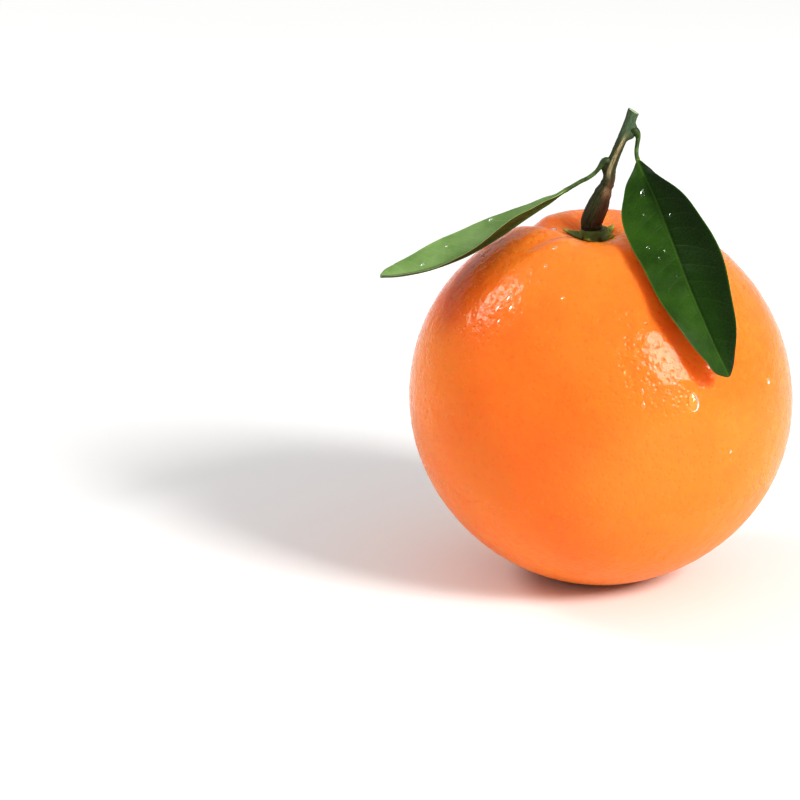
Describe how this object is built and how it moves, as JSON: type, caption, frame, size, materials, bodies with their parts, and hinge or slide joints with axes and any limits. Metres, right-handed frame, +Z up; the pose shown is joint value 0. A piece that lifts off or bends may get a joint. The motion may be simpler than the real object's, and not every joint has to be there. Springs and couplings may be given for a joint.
{
  "type": "orange fruit",
  "caption": "Whole ripe orange, picked with a short woody twig and leaves, resting on a small flat spot of its peel.",
  "frame": {"origin": "middle of the flat spot that the fruit rests on", "axes": "+Z up through the fruit towards the stem, -Y towards the front, where the long leaf hangs down, +X to the right seen from the front"},
  "size_m": [0.0887, 0.0814, 0.1036],
  "materials": {
    "peel": "waxy, pored orange peel, half gloss",
    "calyx_green": "dry green, matt",
    "bark": "young green-brown bark, matt",
    "leaf_green_left": "leathery leaf, satin, in the light",
    "leaf_green_right": "leathery leaf, waxy half gloss, deep green"
  },
  "bodies": {
    "root": {"fruit": "peel", "calyx": "calyx_green", "stem": "bark", "leaf_left": "leaf_green_left", "leaf_right": "leaf_green_right"}
  },
  "joints": []
}
